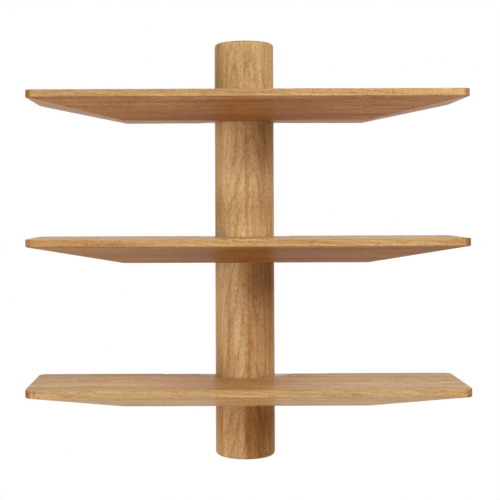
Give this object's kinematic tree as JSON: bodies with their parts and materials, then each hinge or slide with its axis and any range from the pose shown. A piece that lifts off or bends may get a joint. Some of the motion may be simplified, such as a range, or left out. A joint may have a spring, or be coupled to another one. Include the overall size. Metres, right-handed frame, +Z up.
{
  "type": "wall shelf",
  "caption": "Oak wall shelf: boards that taper to a thin front edge stand out from a half-round upright post, which hangs on hooked cleats hidden in its back.",
  "frame": {"origin": "middle of the back, in the wall's plane, at half the post's height", "axes": "+Y into the wall, +Z up, +X to the right as seen from the room; the shelf stands out towards -Y"},
  "size_m": [0.8, 0.2, 0.8],
  "materials": {
    "oak_post": "solid oak, satin oil, upright grain",
    "oak_board": "solid oak, satin oil, grain along the board",
    "coated_steel": "pale beige powder coat, fine texture",
    "zinc_plated_steel": "bright zinc plate",
    "brass": "turned brass",
    "aluminium": "extruded, plain mill finish"
  },
  "bodies": {
    "root": {"post": "oak_post", "top_shelf": "oak_board", "middle_shelf": "oak_board", "bottom_shelf": "oak_board", "top_joining_plate": "coated_steel", "middle_joining_plate": "coated_steel", "bottom_joining_plate": "coated_steel", "top_shelf_screw_1": "zinc_plated_steel", "top_shelf_screw_2": "zinc_plated_steel", "top_shelf_screw_3": "zinc_plated_steel", "top_shelf_screw_4": "zinc_plated_steel", "middle_shelf_screw_1": "zinc_plated_steel", "middle_shelf_screw_2": "zinc_plated_steel", "middle_shelf_screw_3": "zinc_plated_steel", "middle_shelf_screw_4": "zinc_plated_steel", "bottom_shelf_screw_1": "zinc_plated_steel", "bottom_shelf_screw_2": "zinc_plated_steel", "bottom_shelf_screw_3": "zinc_plated_steel", "bottom_shelf_screw_4": "zinc_plated_steel", "top_post_screw_1": "zinc_plated_steel", "top_post_screw_2": "zinc_plated_steel", "middle_post_screw_1": "zinc_plated_steel", "middle_post_screw_2": "zinc_plated_steel", "bottom_post_screw_1": "zinc_plated_steel", "bottom_post_screw_2": "zinc_plated_steel", "top_shelf_bolt_1": "zinc_plated_steel", "top_shelf_bolt_2": "zinc_plated_steel", "middle_shelf_bolt_1": "zinc_plated_steel", "middle_shelf_bolt_2": "zinc_plated_steel", "bottom_shelf_bolt_1": "zinc_plated_steel", "bottom_shelf_bolt_2": "zinc_plated_steel", "top_bolt_insert_1": "brass", "top_bolt_insert_2": "brass", "middle_bolt_insert_1": "brass", "middle_bolt_insert_2": "brass", "bottom_bolt_insert_1": "brass", "bottom_bolt_insert_2": "brass", "upper_wall_cleat": "aluminium", "upper_post_cleat": "aluminium", "lower_wall_cleat": "aluminium", "lower_post_cleat": "aluminium", "upper_cleat_screw_1": "zinc_plated_steel", "upper_cleat_screw_2": "zinc_plated_steel", "lower_cleat_screw_1": "zinc_plated_steel", "lower_cleat_screw_2": "zinc_plated_steel"}
  },
  "joints": []
}
